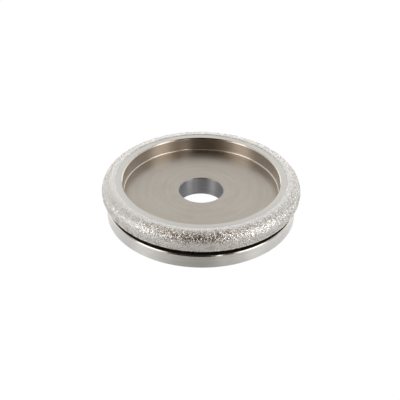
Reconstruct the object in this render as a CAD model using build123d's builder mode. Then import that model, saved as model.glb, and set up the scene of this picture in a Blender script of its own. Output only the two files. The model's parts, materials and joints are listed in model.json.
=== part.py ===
from build123d import *
import os

# Electroplated diamond profile wheel: a turned steel cup whose rim is a full-radius nose.
# Nickel is plated onto the nose and holds the diamond grit.
# The wheel lies on its back face with the clamping recess upwards. Its axis is +Z, and the
# origin is the centre of the back face. All sizes are in millimetres.

# Overall
outside_diameter = 100.0
bore_diameter = 22.23

# Web, between the back relief and the floor of the clamping recess
recess_floor_height = 12.55
back_relief_depth = 2.5
back_relief_diameter = 64.0
back_relief_corner_radius = 0.5
bore_front_chamfer = 0.35
bore_back_chamfer = 0.45

# Clamping recess
recess_diameter = 78.8
recess_corner_radius = 0.6
recess_edge_chamfer = 0.5

# Full-radius nose, measured over the tips of the grit
nose_radius = 6.0
nose_centre_height = 14.1

# Abrasive coating: nickel bond next to the steel, grit standing proud of it
bond_thickness = 0.2
grit_protrusion = 0.25
coating_overrun = 0.75

# Relief groove under the nose
groove_root_diameter = 84.0
groove_corner_radius = 0.5

# Flange behind the groove
flange_diameter = 95.4
flange_thickness = 7.05
flange_front_chamfer = 0.45
flange_back_chamfer = 0.4

# Radii and heights that follow from the sizes above
bore_radius = bore_diameter / 2
recess_radius = recess_diameter / 2
back_relief_radius = back_relief_diameter / 2
groove_root = groove_root_diameter / 2
flange_radius = flange_diameter / 2
nose_centre_radius = outside_diameter / 2 - nose_radius
bond_nose_radius = nose_radius - grit_protrusion
core_nose_radius = bond_nose_radius - bond_thickness
land_height = nose_centre_height + core_nose_radius
groove_ceiling = nose_centre_height - core_nose_radius
coating_edge = nose_centre_radius - coating_overrun

# The nose runs through half a turn, from its lower tangent point to its upper one.
nose_start = -90
nose_sweep = 180


def circle_at(part, radius, height):
    """The circular edge of a turned part that is nearest to this radius and height."""
    return part.edges().filter_by(GeomType.CIRCLE).sort_by(
        lambda edge: abs(edge.radius - radius) + abs(edge.arc_center.Z - height)
    )[0]


def coating(inner_radius, outer_radius):
    """Section of a coating that wraps the nose between two concentric radii, at both ends
    running a little way onto the flat beside it."""
    centre = (nose_centre_radius, nose_centre_height)
    with BuildSketch(Plane.XZ) as section:
        with BuildLine():
            inner = CenterArc(centre, inner_radius, nose_start, nose_sweep)
            outer = CenterArc(centre, outer_radius, nose_start, nose_sweep)
            Polyline(inner @ 0, (coating_edge, (inner @ 0).Y), (coating_edge, (outer @ 0).Y), outer @ 0)
            Polyline(inner @ 1, (coating_edge, (inner @ 1).Y), (coating_edge, (outer @ 1).Y), outer @ 1)
        make_face()
    return section.sketch


# Steel core: back flange, web, cup wall and nose, turned from one blank
with BuildPart() as wheel_core:
    with BuildSketch(Plane.XZ):
        with BuildLine():
            nose = CenterArc(
                (nose_centre_radius, nose_centre_height), core_nose_radius, nose_start, nose_sweep
            )
            Polyline(
                nose @ 1,
                (recess_radius, land_height),
                (recess_radius, recess_floor_height),
                (bore_radius, recess_floor_height),
                (bore_radius, back_relief_depth),
                (back_relief_radius, back_relief_depth),
                (back_relief_radius, 0),
                (flange_radius, 0),
                (flange_radius, flange_thickness),
                (groove_root, flange_thickness),
                (groove_root, groove_ceiling),
                nose @ 0,
            )
        make_face()
    revolve(axis=Axis.Z)
    chamfer(circle_at(wheel_core, bore_radius, recess_floor_height), length=bore_front_chamfer)
    chamfer(circle_at(wheel_core, bore_radius, back_relief_depth), length=bore_back_chamfer)
    chamfer(circle_at(wheel_core, recess_radius, land_height), length=recess_edge_chamfer)
    chamfer(circle_at(wheel_core, flange_radius, flange_thickness), length=flange_front_chamfer)
    chamfer(circle_at(wheel_core, flange_radius, 0), length=flange_back_chamfer)
    fillet(circle_at(wheel_core, recess_radius, recess_floor_height), radius=recess_corner_radius)
    fillet(
        circle_at(wheel_core, back_relief_radius, back_relief_depth), radius=back_relief_corner_radius
    )
    fillet(circle_at(wheel_core, groove_root, flange_thickness), radius=groove_corner_radius)
    fillet(circle_at(wheel_core, groove_root, groove_ceiling), radius=groove_corner_radius)

# Nickel bond, plated onto the nose
with BuildPart() as nickel_bond:
    add(coating(core_nose_radius, bond_nose_radius))
    revolve(axis=Axis.Z)

# Diamond grit, as the envelope of the points that stand proud of the bond
with BuildPart() as diamond_grit:
    add(coating(bond_nose_radius, nose_radius))
    revolve(axis=Axis.Z)

pieces = {
    "wheel_core": wheel_core,
    "nickel_bond": nickel_bond,
    "diamond_grit": diamond_grit,
}

os.makedirs("parts", exist_ok=True)
for name, piece in pieces.items():
    piece.part.label = name
    export_step(piece.part, f"parts/{name}.step")
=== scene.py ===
import json
import math

import bmesh
import bpy
import numpy as np
from mathutils import Matrix, Vector, noise


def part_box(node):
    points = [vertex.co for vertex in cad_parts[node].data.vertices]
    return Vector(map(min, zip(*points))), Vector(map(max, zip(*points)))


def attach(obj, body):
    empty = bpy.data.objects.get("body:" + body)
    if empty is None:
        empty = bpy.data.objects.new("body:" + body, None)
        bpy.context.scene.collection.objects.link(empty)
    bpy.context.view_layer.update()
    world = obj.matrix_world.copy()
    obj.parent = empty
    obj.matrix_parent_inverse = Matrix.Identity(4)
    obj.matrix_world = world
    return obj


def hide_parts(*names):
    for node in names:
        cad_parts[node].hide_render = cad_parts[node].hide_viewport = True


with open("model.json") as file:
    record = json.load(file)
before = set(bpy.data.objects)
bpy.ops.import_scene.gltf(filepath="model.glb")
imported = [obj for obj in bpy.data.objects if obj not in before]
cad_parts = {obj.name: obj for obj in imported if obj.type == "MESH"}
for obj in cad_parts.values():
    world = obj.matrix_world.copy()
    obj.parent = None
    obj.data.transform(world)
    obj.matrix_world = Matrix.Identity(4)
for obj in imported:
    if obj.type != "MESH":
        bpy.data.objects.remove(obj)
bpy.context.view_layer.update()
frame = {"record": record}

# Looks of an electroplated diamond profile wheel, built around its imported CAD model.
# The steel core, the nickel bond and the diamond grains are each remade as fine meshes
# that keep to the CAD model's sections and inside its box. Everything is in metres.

MM = 0.001
SEED = 7

# ---------------------------------------------------------------- sizes from the frame

mounts = {mount["name"]: mount for mount in frame["record"]["mounts"]}
bond_low, bond_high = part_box("nickel_bond")
grit_low, grit_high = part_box("diamond_grit")
core_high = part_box("wheel_core")[1]

BORE_RADIUS = mounts["bore"]["dims"]["r_mm"] * MM
RECESS_FLOOR = mounts["clamping_face"]["pos_m"][2]
LAND_HEIGHT = core_high.z
NOSE_CENTRE_HEIGHT = (bond_low.z + bond_high.z) / 2
BOND_NOSE_RADIUS = (bond_high.z - bond_low.z) / 2
GRIT_NOSE_RADIUS = (grit_high.z - grit_low.z) / 2
CORE_NOSE_RADIUS = LAND_HEIGHT - NOSE_CENTRE_HEIGHT
NOSE_CENTRE_RADIUS = grit_high.x - GRIT_NOSE_RADIUS
GROOVE_CEILING = NOSE_CENTRE_HEIGHT - CORE_NOSE_RADIUS

# ---------------------------------------------------------------- sizes shared with the CAD

RECESS_RADIUS = 39.4 * MM
RECESS_CORNER = 0.6 * MM
RECESS_EDGE = 0.5 * MM
RELIEF_RADIUS = 32.0 * MM
RELIEF_DEPTH = 2.5 * MM
RELIEF_CORNER = 0.5 * MM
GROOVE_ROOT = 42.0 * MM
GROOVE_CORNER = 0.5 * MM
FLANGE_RADIUS = 47.7 * MM
FLANGE_TOP = 7.05 * MM
FLANGE_FRONT_EDGE = 0.45 * MM
FLANGE_BACK_EDGE = 0.4 * MM
BORE_FRONT_EDGE = 0.35 * MM
BORE_BACK_EDGE = 0.45 * MM
COATING_OVERRUN = 0.75 * MM

# ---------------------------------------------------------------- mesh helpers


def make_object(name, vertices, faces, smooth=True):
    """A mesh object from arrays of points and of faces with equally many corners."""
    mesh = bpy.data.meshes.new(name)
    mesh.from_pydata(vertices.tolist(), [], faces.tolist())
    mesh.polygons.foreach_set("use_smooth", [smooth] * len(mesh.polygons))
    mesh.update()
    made = bpy.data.objects.new(name, mesh)
    bpy.context.scene.collection.objects.link(made)
    return made


def ring_faces(rows, columns):
    """Quads that join rows of points into a closed ring, each row being one turn about Z."""
    row, column = np.meshgrid(np.arange(rows), np.arange(columns), indexing="ij")
    next_row = (row + 1) % rows
    next_column = (column + 1) % columns
    corners = [
        row * columns + column,
        row * columns + next_column,
        next_row * columns + next_column,
        next_row * columns + column,
    ]
    return np.stack([corner.ravel() for corner in corners], axis=1)


def turn(radius, height, columns):
    """Points of every profile point turned about Z, as an array of rows by columns by 3."""
    angle = np.linspace(0, 2 * math.pi, columns, endpoint=False)
    return np.stack(
        [
            np.outer(radius, np.cos(angle)),
            np.outer(radius, np.sin(angle)),
            np.outer(height, np.ones(columns)),
        ],
        axis=2,
    )


def round_corner(before, corner, after, radius):
    """Points that round off one corner of an outline, with a holding point on either side
    that keeps the flats beside it flat when the mesh is shaded smooth."""
    steps = 6
    hold = 0.12 * MM
    to_before = (before - corner).normalized()
    to_after = (after - corner).normalized()
    half = to_before.angle(to_after) / 2
    run = radius / math.tan(half)
    centre = corner + (to_before + to_after).normalized() * (radius / math.sin(half))
    start = corner + to_before * run - centre
    end = corner + to_after * run - centre
    sweep = math.copysign(math.pi - 2 * half, start.x * end.y - start.y * end.x)
    points = [corner + to_before * (run + hold)]
    for step in range(steps + 1):
        points.append(centre + start @ Matrix.Rotation(-sweep * step / steps, 2))
    points.append(corner + to_after * (run + hold))
    return points


# ---------------------------------------------------------------- steel core


def core_profile():
    """Outline of the core's section, anticlockwise, as (radius, height) points, and for each
    point the finish of the surface that runs on from it."""
    edge = 0.08 * MM
    # Radius, height, rounding, finish of the rounded corner, finish of the run after it
    corners = [
        (BORE_RADIUS + BORE_BACK_EDGE, RELIEF_DEPTH, edge, "edge", "plain"),
        (RELIEF_RADIUS, RELIEF_DEPTH, RELIEF_CORNER, "plain", "plain"),
        (RELIEF_RADIUS, 0, 2 * edge, "edge", "plain"),
        (FLANGE_RADIUS - FLANGE_BACK_EDGE, 0, edge, "plain", "edge"),
        (FLANGE_RADIUS, FLANGE_BACK_EDGE, edge, "edge", "rim"),
        (FLANGE_RADIUS, FLANGE_TOP - FLANGE_FRONT_EDGE, edge, "rim", "edge"),
        (FLANGE_RADIUS - FLANGE_FRONT_EDGE, FLANGE_TOP, edge, "edge", "groove"),
        (GROOVE_ROOT, FLANGE_TOP, GROOVE_CORNER, "groove", "groove"),
        (GROOVE_ROOT, GROOVE_CEILING, GROOVE_CORNER, "groove", "groove"),
        (NOSE_CENTRE_RADIUS, GROOVE_CEILING, 0, "nose", "nose"),
        (NOSE_CENTRE_RADIUS, LAND_HEIGHT, 0, "plain", "plain"),
        (RECESS_RADIUS + RECESS_EDGE, LAND_HEIGHT, 2 * edge, "edge", "edge"),
        (RECESS_RADIUS, LAND_HEIGHT - RECESS_EDGE, 2 * edge, "edge", "wall"),
        (RECESS_RADIUS, RECESS_FLOOR, RECESS_CORNER, "inner_edge", "floor"),
        (BORE_RADIUS + BORE_FRONT_EDGE, RECESS_FLOOR, edge, "floor", "bore"),
        (BORE_RADIUS, RECESS_FLOOR - BORE_FRONT_EDGE, edge, "bore", "bore"),
        (BORE_RADIUS, RELIEF_DEPTH + BORE_BACK_EDGE, edge, "bore", "bore"),
    ]
    nose_steps = 24
    points, finishes = [], []
    for index, (radius, height, rounding, rounded, run) in enumerate(corners):
        corner = Vector((radius, height))
        before = Vector(corners[index - 1][:2])
        after = Vector(corners[(index + 1) % len(corners)][:2])
        if rounding:
            arc = round_corner(before, corner, after, rounding)
            points += arc
            finishes += [corners[index - 1][4]] + [rounded] * (len(arc) - 3) + [run] * 2
        elif rounded == "nose":
            for step in range(nose_steps + 1):
                angle = math.pi * (step / nose_steps - 0.5)
                reach = Vector((math.cos(angle), math.sin(angle))) * CORE_NOSE_RADIUS
                points.append(Vector((NOSE_CENTRE_RADIUS, NOSE_CENTRE_HEIGHT)) + reach)
                finishes.append("plain")
    return np.array(points), finishes


def make_core():
    columns = 320
    profile, finishes = core_profile()
    points = turn(profile[:, 0], profile[:, 1], columns)
    core = make_object("turned_core", points.reshape(-1, 3), ring_faces(len(profile), columns))
    materials = core_materials()
    for material in materials.values():
        core.data.materials.append(material)
    slots = np.repeat([list(materials).index(finish) for finish in finishes], columns)
    core.data.polygons.foreach_set("material_index", slots.astype(np.int32))
    return core


# ---------------------------------------------------------------- nickel bond


def nose_path(distance, radius):
    """(radius, height, outward radial, outward height) at a distance along a coating's section,
    from its edge in the groove, round the nose, to its edge on the land."""
    arc = math.pi * radius
    along = np.clip((distance - COATING_OVERRUN) / arc, 0, 1)
    angle = math.pi * (along - 0.5)
    lower_run = np.minimum(distance - COATING_OVERRUN, 0)
    upper_run = np.maximum(distance - COATING_OVERRUN - arc, 0)
    out_radial, out_height = np.cos(angle), np.sin(angle)
    return (
        NOSE_CENTRE_RADIUS + radius * out_radial + lower_run - upper_run,
        NOSE_CENTRE_HEIGHT + radius * out_height,
        out_radial,
        out_height,
    )


def path_length(radius):
    return math.pi * radius + 2 * COATING_OVERRUN


def relief(distance):
    """How far the grain stands clear of the nickel, 0..1: the plating builds up along the
    masked edges, by the land and in the groove, and buries the grain there."""
    land_margin, land_rise = 0.8 * MM, 3.4 * MM
    groove_margin, groove_rise = 1.5 * MM, 4.5 * MM
    least = 0.12
    from_land = (path_length(BOND_NOSE_RADIUS) - distance - land_margin) / land_rise
    from_groove = (distance - groove_margin) / groove_rise
    along = np.clip(np.minimum(from_land, from_groove), 0, 1)
    return least + (1 - least) * along * along * (3 - 2 * along)


def make_bond():
    """The plated nickel: nodular outside, smooth where it meets the steel. Its hidden inner
    side lies a little way inside the steel, so that no gap shows at its edges."""
    rows, columns = 66, 1080
    swell = 0.13 * MM
    nodule = 0.7 * MM
    noise_ceiling = 1.2
    inner_rows = 16
    inner_radius = CORE_NOSE_RADIUS - 0.06 * MM
    place = np.linspace(0, path_length(BOND_NOSE_RADIUS), rows)
    outer = nose_path(place, BOND_NOSE_RADIUS)
    inner = nose_path(np.linspace(path_length(inner_radius), 0, inner_rows), inner_radius)
    surface = turn(outer[0], outer[1], columns).reshape(-1, 3)
    outward = turn(outer[2], outer[3], columns).reshape(-1, 3)
    rise = np.array([noise.noise(Vector(point) / nodule) for point in surface.tolist()])
    sunk = swell * (rise - noise_ceiling) * np.repeat(relief(place), columns)
    surface += outward * sunk[:, None]
    backing = turn(inner[0], inner[1], columns).reshape(-1, 3)
    bond = make_object(
        "nickel_plating", np.concatenate([surface, backing]), ring_faces(rows + inner_rows, columns)
    )
    bond.data.materials.append(matt_nickel())
    return bond


# ---------------------------------------------------------------- diamond grains


def grain_shapes(random, count):
    """Blocky convex grains of unit radius: corners of a cube pushed about, then hulled."""
    push = 0.17
    triangles_per_grain = 12
    cube = np.array([(x, y, z) for x in (-1, 1) for y in (-1, 1) for z in (-1, 1)]) / math.sqrt(3)
    points, faces = [], []
    while len(points) < count:
        corners = cube + random.uniform(-push, push, cube.shape)
        corners /= np.linalg.norm(corners, axis=1).max()
        hull = bmesh.new()
        for corner in corners:
            hull.verts.new(corner)
        bmesh.ops.convex_hull(hull, input=hull.verts)
        bmesh.ops.triangulate(hull, faces=hull.faces)
        hull.verts.index_update()
        if len(hull.faces) == triangles_per_grain:
            points.append([tuple(vertex.co) for vertex in hull.verts])
            faces.append([[vertex.index for vertex in face.verts] for face in hull.faces])
        hull.free()
    return np.array(points), np.array(faces)


def lay_flat(random, outward, around, lean):
    """Rotation matrices that turn a flat side of each grain outward, spun about and tipped a
    little at random."""
    count = len(outward)
    across = np.cross(outward, around)
    tip = random.normal(0, lean, (2, count, 1))
    up = outward + tip[0] * around + tip[1] * across
    up /= np.linalg.norm(up, axis=1, keepdims=True)
    spin = random.uniform(0, 2 * math.pi, (count, 1))
    side = np.cross(up, np.cos(spin) * around + np.sin(spin) * across)
    side /= np.linalg.norm(side, axis=1, keepdims=True)
    return np.stack([side, np.cross(up, side), up], axis=2)


def make_grit(name, start, end, random):
    """One band of grains, between two distances along the coating's section."""
    pitch = 0.42 * MM
    stray = 0.4
    grain_radius = 0.34 * MM
    lean = 0.14
    shape_count = 60
    shapes, shape_faces = grain_shapes(random, shape_count)
    seats = []
    for row in np.arange(start + pitch / 2, end, pitch):
        ring_radius = nose_path(row, BOND_NOSE_RADIUS)[0]
        count = int(2 * math.pi * ring_radius / pitch)
        angle = (np.arange(count) + random.uniform(0, 1)) * 2 * math.pi / count
        angle += random.uniform(-stray, stray, count) * pitch / ring_radius
        place = row + random.uniform(-stray, stray, count) * pitch
        place = np.clip(place, 0, path_length(BOND_NOSE_RADIUS))
        radial, height, out_radial, out_height = nose_path(place, BOND_NOSE_RADIUS)
        seats.append(np.stack([angle, radial, height, out_radial, out_height, relief(place)]))
    angle, radial, height, out_radial, out_height, clear = np.concatenate(seats, axis=1)
    count = len(angle)
    centre = np.stack([radial * np.cos(angle), radial * np.sin(angle), height], axis=1)
    outward = np.stack([out_radial * np.cos(angle), out_radial * np.sin(angle), out_height], axis=1)
    kind = random.integers(0, shape_count, count)
    size = grain_radius * random.uniform(0.8, 1.1, count)
    around = np.stack([-np.sin(angle), np.cos(angle), np.zeros(count)], axis=1)
    turns = lay_flat(random, outward, around, lean)
    points = np.einsum("nij,nkj->nki", turns, shapes[kind]) * size[:, None, None]
    tip = np.einsum("nki,ni->nk", points, outward).max(axis=1)
    proud = random.uniform(0.06, 0.22, count) * MM * clear
    points += (centre + outward * (proud - tip)[:, None])[:, None, :]
    points = keep_inside(points.reshape(-1, 3))
    corners = shapes.shape[1]
    faces = (shape_faces[kind] + (np.arange(count) * corners)[:, None, None]).reshape(-1, 3)
    grit = make_object(name, points, faces, smooth=False)
    grit.data.materials.append(diamond())
    return grit


def keep_inside(points):
    """Moves any point beyond the grit's envelope back onto it, and any point inside the steel
    out onto its surface, so that every grain stands on the steel."""
    gap = 0.005 * MM
    radius = np.hypot(points[:, 0], points[:, 1])
    off_centre = np.maximum(radius - NOSE_CENTRE_RADIUS, 0)
    above = points[:, 2] - NOSE_CENTRE_HEIGHT
    reach = np.hypot(off_centre, above)
    scale = np.clip(reach, CORE_NOSE_RADIUS + 2 * gap, GRIT_NOSE_RADIUS - gap) / reach
    new_radius = np.where(off_centre > 0, NOSE_CENTRE_RADIUS + off_centre * scale, radius)
    points[:, 0] *= new_radius / radius
    points[:, 1] *= new_radius / radius
    points[:, 2] = NOSE_CENTRE_HEIGHT + above * scale
    return points


# ---------------------------------------------------------------- materials


def add_node(tree, kind, inputs=None, **settings):
    """A shader node with its settings, each input given as a value or as a socket to link."""
    made = tree.nodes.new(kind)
    for key, value in settings.items():
        setattr(made, key, value)
    for key, value in (inputs or {}).items():
        if isinstance(value, bpy.types.NodeSocket):
            tree.links.new(value, made.inputs[key])
        else:
            made.inputs[key].default_value = value
    return made


def maths(tree, operation, first, second=0.0):
    return add_node(tree, "ShaderNodeMath", {0: first, 1: second}, operation=operation).outputs[0]


def spread(tree, value, low, high):
    """A 0..1 value moved into low..high."""
    made = add_node(
        tree, "ShaderNodeMapRange", {"Value": value, "To Min": low, "To Max": high}
    )
    return made.outputs[0]


def mix_colours(tree, factor, first, second):
    made = add_node(
        tree, "ShaderNodeMix", {"Factor": factor, 6: first, 7: second}, data_type="RGBA"
    )
    return made.outputs[2]


def noise_value(tree, vector, scale, detail=3.0, roughness=0.55):
    made = add_node(
        tree,
        "ShaderNodeTexNoise",
        {"Vector": vector, "Scale": scale, "Detail": detail, "Roughness": roughness},
    )
    return made.outputs[0]


def start_material(name):
    material = bpy.data.materials.new(name)
    material.use_nodes = True
    tree = material.node_tree
    shader = tree.nodes["Principled BSDF"]
    place = add_node(tree, "ShaderNodeTexCoord").outputs["Object"]
    return material, tree, shader, place


def lay_of_cut(tree, place, lines_per_metre, wander):
    """Coordinates in which noise becomes fine rings about Z: close together across the cut,
    long drawn out along it."""
    axes = add_node(tree, "ShaderNodeSeparateXYZ", {0: place})
    x, y, z = axes.outputs
    square = maths(tree, "ADD", maths(tree, "MULTIPLY", x, x), maths(tree, "MULTIPLY", y, y))
    radius = maths(tree, "SQRT", square)
    across = maths(tree, "MULTIPLY", maths(tree, "ADD", radius, z), lines_per_metre)
    around_x = maths(tree, "MULTIPLY", maths(tree, "DIVIDE", x, radius), wander)
    around_y = maths(tree, "MULTIPLY", maths(tree, "DIVIDE", y, radius), wander)
    return add_node(tree, "ShaderNodeCombineXYZ", {0: across, 1: around_x, 2: around_y}).outputs[0]


def set_bump(tree, shader, height, strength, distance):
    bump = add_node(
        tree, "ShaderNodeBump", {"Height": height, "Strength": strength, "Distance": distance}
    )
    tree.links.new(bump.outputs[0], shader.inputs["Normal"])


def turned_tangent(tree, shader, amount):
    """Stretches highlights across the circular cutting marks."""
    tangent = add_node(tree, "ShaderNodeTangent", direction_type="RADIAL", axis="Z")
    tree.links.new(tangent.outputs[0], shader.inputs["Tangent"])
    shader.inputs["Anisotropic"].default_value = amount
    shader.inputs["Anisotropic Rotation"].default_value = 0.25


def turned_metal(name, dark, pale, roughness, anisotropy, marks):
    """Turned metal: fine cutting marks, broader bands of them, and soft stains across both.
    Marks is the number of broader bands in a metre of cut."""
    fine_marks = 2600
    stains_per_metre = 45.0
    material, tree, shader, place = start_material(name)
    fine = noise_value(tree, lay_of_cut(tree, place, fine_marks, wander=3.0), 1.0, detail=4.0)
    bands = noise_value(tree, lay_of_cut(tree, place, marks, wander=1.6), 1.0, detail=3.0)
    stains = noise_value(tree, place, stains_per_metre, detail=5.0)
    tone = maths(tree, "MULTIPLY", maths(tree, "ADD", stains, bands), 0.5)
    tree.links.new(mix_colours(tree, sharpen(tree, tone), dark, pale), shader.inputs["Base Color"])
    shader.inputs["Metallic"].default_value = 1.0
    wear = maths(tree, "MULTIPLY", maths(tree, "ADD", fine, stains), 0.5)
    tree.links.new(spread(tree, sharpen(tree, wear), *roughness), shader.inputs["Roughness"])
    turned_tangent(tree, shader, anisotropy)
    set_bump(tree, shader, fine, strength=0.35, distance=0.02 * MM)
    return material


def sharpen(tree, value):
    """Noise, which keeps close to its middle, stretched to fill 0..1."""
    low, high = 0.32, 0.68
    made = add_node(tree, "ShaderNodeMapRange", {"Value": value, "From Min": low, "From Max": high})
    return made.outputs[0]


def burnished_edge(name, dark, pale):
    """A broken edge, rubbed bright, that carries crisp highlights."""
    material, tree, shader, place = start_material(name)
    wear = noise_value(tree, lay_of_cut(tree, place, 900, wander=14.0), 1.0, detail=4.0)
    tree.links.new(mix_colours(tree, wear, dark, pale), shader.inputs["Base Color"])
    shader.inputs["Metallic"].default_value = 1.0
    tree.links.new(spread(tree, wear, low=0.08, high=0.22), shader.inputs["Roughness"])
    set_bump(tree, shader, wear, strength=0.2, distance=0.01 * MM)
    return material


def core_materials():
    """The core's finishes by name: thin nickel flash outside, bare turned steel inside, and
    near-black painted shade down in the relief groove.
    """
    return {
        "plain": turned_metal(
            "satin_nickel",
            dark=(0.57, 0.555, 0.522, 1),
            pale=(0.665, 0.65, 0.618, 1),
            roughness=(0.28, 0.42),
            anisotropy=0.4,
            marks=700,
        ),
        "rim": turned_metal(
            "turned_rim",
            dark=(0.68, 0.67, 0.645, 1),
            pale=(0.86, 0.85, 0.82, 1),
            roughness=(0.30, 0.46),
            anisotropy=0.95,
            marks=2300,
        ),
        "bore": turned_metal(
            "ground_steel",
            dark=(0.34, 0.337, 0.345, 1),
            pale=(0.54, 0.537, 0.55, 1),
            roughness=(0.40, 0.54),
            anisotropy=0.95,
            marks=1300,
        ),
        "wall": turned_metal(
            "recess_wall",
            dark=(0.42, 0.36, 0.30, 1),
            pale=(0.56, 0.50, 0.43, 1),
            roughness=(0.24, 0.38),
            anisotropy=0.85,
            marks=900,
        ),
        "floor": turned_metal(
            "recess_floor",
            dark=(0.42, 0.38, 0.33, 1),
            pale=(0.50, 0.46, 0.41, 1),
            roughness=(0.25, 0.38),
            anisotropy=0.2,
            marks=500,
        ),
        "edge": burnished_edge("bright_edges", (0.50, 0.46, 0.39, 1), (0.84, 0.80, 0.72, 1)),
        "inner_edge": burnished_edge("recess_edges", (0.58, 0.52, 0.45, 1), (0.76, 0.71, 0.63, 1)),
        # The groove's finish is painted shade, not a colour of the steel.
        "groove": groove_painted_shade(),
    }


def groove_painted_shade():
    """Painted shade: near-black colour down in the relief groove and on the flange's top face, where
    the nose above shades them.
    """
    material, tree, shader, place = start_material("groove_painted_shade")
    patches = noise_value(tree, place, 300.0, detail=5.0)
    # Near-black painted shade under the nose.
    colour = mix_colours(tree, patches, (0.006, 0.005, 0.004, 1), (0.02, 0.016, 0.013, 1))
    tree.links.new(colour, shader.inputs["Base Color"])
    shader.inputs["Metallic"].default_value = 0.2
    tree.links.new(spread(tree, patches, low=0.5, high=0.75), shader.inputs["Roughness"])
    set_bump(tree, shader, patches, strength=0.3, distance=0.03 * MM)
    return material


def matt_nickel():
    """Electroplated nickel between the grains: fine nodules, warm grey."""
    material, tree, shader, place = start_material("matt_nickel")
    nodules = noise_value(tree, place, 2600.0, detail=3.0, roughness=0.6)
    patches = noise_value(tree, place, 260.0, detail=3.0)
    colour = mix_colours(tree, patches, (0.58, 0.565, 0.54, 1), (0.72, 0.705, 0.68, 1))
    tree.links.new(colour, shader.inputs["Base Color"])
    shader.inputs["Metallic"].default_value = 1.0
    tree.links.new(spread(tree, nodules, low=0.12, high=0.30), shader.inputs["Roughness"])
    set_bump(tree, shader, nodules, strength=0.8, distance=0.08 * MM)
    return material


def diamond():
    """Pale diamond veiled by nickel: flat facets that mirror their surroundings as a bright
    metal does, and not clear stone."""
    material, tree, shader, place = start_material("diamond_facets")
    grain = noise_value(tree, place, 1500.0, detail=2.0)
    colour = mix_colours(tree, grain, (0.82, 0.80, 0.77, 1), (0.98, 0.965, 0.94, 1))
    tree.links.new(colour, shader.inputs["Base Color"])
    shader.inputs["Metallic"].default_value = 0.96
    shader.inputs["IOR"].default_value = 2.42
    tree.links.new(spread(tree, grain, low=0.03, high=0.12), shader.inputs["Roughness"])
    scratches = noise_value(tree, place, 5200.0)
    set_bump(tree, shader, scratches, strength=0.25, distance=0.02 * MM)
    return material


# ---------------------------------------------------------------- floor, light and camera


def make_floor():
    """A wide sheet that the wheel lies on, which glows though it is no lamp. The camera sees it
    glow white. The wheel sees a painted glow on it, dim in front and growing bright towards the
    back and the sides, in place of lamp light falling off towards the front."""
    half = 1.5
    dim_place, bright_place = -0.07, 0.14
    dim_share, bright_share, camera_share = 0.08, 1.1, 0.96
    points = np.array([(-half, -half, 0), (half, -half, 0), (half, half, 0), (-half, half, 0)])
    floor = make_object("floor", points, np.array([[0, 1, 2, 3]]))
    material = bpy.data.materials.new("glowing_floor")
    material.use_nodes = True
    tree = material.node_tree
    tree.nodes.clear()
    seen = add_node(tree, "ShaderNodeLightPath").outputs["Is Camera Ray"]
    place = add_node(tree, "ShaderNodeTexCoord").outputs["Object"]
    axes = add_node(tree, "ShaderNodeSeparateXYZ", {0: place}).outputs
    away = maths(tree, "ADD", axes["Y"], maths(tree, "ABSOLUTE", axes["X"]))
    # Painted light: the share of glow that the wheel sees, dim in front, bright towards the back and
    # the sides.
    painted_glow_share = add_node(
        tree,
        "ShaderNodeMapRange",
        {
            "Value": away,
            "From Min": dim_place,
            "From Max": bright_place,
            "To Min": dim_share,
            "To Max": bright_share,
        },
    ).outputs[0]
    share = add_node(
        tree, "ShaderNodeMix", {"Factor": seen, 2: painted_glow_share, 3: camera_share}, data_type="FLOAT"
    )
    paper = add_node(tree, "ShaderNodeBsdfDiffuse", {"Color": (0.72, 0.72, 0.72, 1)})
    glow = add_node(tree, "ShaderNodeEmission", {"Color": (1, 1, 1, 1), "Strength": 1.03})
    blend = add_node(
        tree, "ShaderNodeMixShader", {0: share.outputs[0], 1: paper.outputs[0], 2: glow.outputs[0]}
    )
    add_node(tree, "ShaderNodeOutputMaterial", {"Surface": blend.outputs[0]})
    floor.data.materials.append(material)


def make_softbox(name, azimuth, elevation, distance, width, height, brightness):
    """A rectangular soft light that looks at the wheel. Azimuth 0 is the camera's side, -Y,
    and it grows towards +X. Its brightness is how bright its face looks, 1 being white."""
    light = bpy.data.lights.new(name, "AREA")
    light.shape = "RECTANGLE"
    light.size, light.size_y = width, height
    light.energy = brightness * math.pi * width * height
    lamp = bpy.data.objects.new(name, light)
    across, up = math.radians(azimuth), math.radians(elevation)
    toward = Vector((math.sin(across) * math.cos(up), -math.cos(across) * math.cos(up), math.sin(up)))
    lamp.location = toward * distance
    lamp.rotation_euler = toward.to_track_quat("Z", "Y").to_euler()
    lamp.visible_camera = False
    bpy.context.scene.collection.objects.link(lamp)


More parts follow.
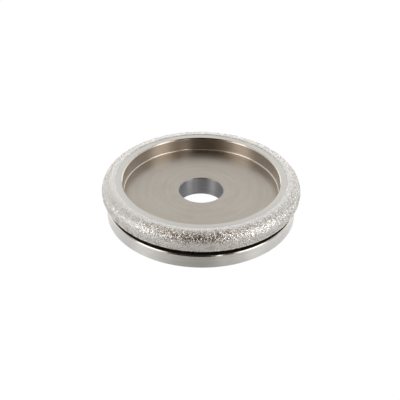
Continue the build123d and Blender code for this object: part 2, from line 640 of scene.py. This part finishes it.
def make_world():
    """Studio surroundings. The camera sees them white. The wheel sees them pale and brightest
    low down, but for a dark zone up on the -Y side, and warm in colour where they are dim."""
    side_dimming = 0.6
    zone_edge, zone_core = 0.15, 0.70
    darkest_level = 0.045
    backdrop_level, skyline_level, skyline_fall, base_level = 0.35, 0.6, 1.2, 0.65
    tint_reach = 1.6
    warm, white = (1.0, 0.52, 0.12, 1), (1, 1, 1, 1)
    world = bpy.data.worlds.new("studio")
    bpy.context.scene.world = world
    world.use_nodes = True
    tree = world.node_tree
    tree.nodes.clear()
    direction = add_node(tree, "ShaderNodeTexCoord").outputs["Generated"]
    dark_elevation = math.radians(48)
    darkest = (0, -math.cos(dark_elevation), math.sin(dark_elevation))
    nearness = add_node(
        tree, "ShaderNodeVectorMath", {0: direction, 1: darkest}, operation="DOT_PRODUCT"
    )
    x, y, z = add_node(tree, "ShaderNodeSeparateXYZ", {0: direction}).outputs
    sideways = maths(tree, "MULTIPLY", maths(tree, "ABSOLUTE", x), side_dimming)
    depth = add_node(
        tree,
        "ShaderNodeMapRange",
        {
            "Value": maths(tree, "SUBTRACT", nearness.outputs["Value"], sideways),
            "From Min": zone_core,
            "From Max": zone_edge,
            "To Min": darkest_level,
            "To Max": 1.0,
        },
    ).outputs[0]
    backdrop = maths(tree, "MULTIPLY", maths(tree, "MAXIMUM", y), backdrop_level)
    fall = maths(tree, "MULTIPLY", z, skyline_fall)
    skyline = maths(tree, "MAXIMUM", maths(tree, "SUBTRACT", skyline_level, fall))
    surroundings = maths(tree, "ADD", maths(tree, "ADD", backdrop, skyline), base_level)
    glow = maths(tree, "MULTIPLY", depth, surroundings)
    seen = add_node(tree, "ShaderNodeLightPath").outputs["Is Camera Ray"]
    strength = add_node(
        tree, "ShaderNodeMix", {"Factor": seen, 2: glow, 3: 1.0}, data_type="FLOAT"
    )
    brightness = maths(tree, "MULTIPLY", strength.outputs[0], tint_reach)
    tint = mix_colours(tree, brightness, warm, white)
    background = add_node(
        tree, "ShaderNodeBackground", {"Color": tint, "Strength": strength.outputs[0]}
    )
    add_node(tree, "ShaderNodeOutputWorld", {"Surface": background.outputs[0]})


def make_camera():
    elevation = math.radians(34.28)
    distance = 475.0 * MM
    sensor_millimetres = 36
    focal_millimetres = 83.817
    roll = math.radians(0.75)
    aim = Vector((-0.53 * MM, 0.62 * MM, 5.91 * MM))
    camera = bpy.data.cameras.new("camera")
    camera.sensor_width = sensor_millimetres
    camera.lens = focal_millimetres
    camera.clip_start = 0.01
    camera.clip_end = 10
    holder = bpy.data.objects.new("camera", camera)
    back = Vector((0, -math.cos(elevation), math.sin(elevation)))
    holder.location = aim + back * distance
    level = back.to_track_quat("Z", "Y").to_matrix()
    holder.rotation_euler = (level @ Matrix.Rotation(roll, 3, "Z")).to_euler()
    bpy.context.scene.collection.objects.link(holder)
    bpy.context.scene.camera = holder


# ---------------------------------------------------------------- the scene

random_source = np.random.default_rng(SEED)

core = make_core()
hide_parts("wheel_core")
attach(core, "root")

bond = make_bond()
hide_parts("nickel_bond")
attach(bond, "root")

whole = path_length(BOND_NOSE_RADIUS)
bands = {
    "diamond_grains_lower": (0, whole / 3),
    "diamond_grains_middle": (whole / 3, 2 * whole / 3),
    "diamond_grains_upper": (2 * whole / 3, whole),
}
for band, (start, end) in bands.items():
    grit = make_grit(band, start, end, random_source)
    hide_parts("diamond_grit")
    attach(grit, "root")

make_floor()
# Azimuth and elevation in degrees, distance, width and height in metres, brightness
make_softbox("softbox_left", -63, 33, 0.70, 0.32, 0.60, 1.4)
make_softbox("softbox_right", 64, 33, 0.70, 0.32, 0.60, 1.5)
make_softbox("softbox_top", 0, 84, 0.80, 0.80, 0.13, 1.1)
make_softbox("softbox_strip", 25, 32, 0.75, 0.06, 0.70, 2.0)
make_world()
make_camera()
bpy.context.scene.view_settings.view_transform = "Standard"
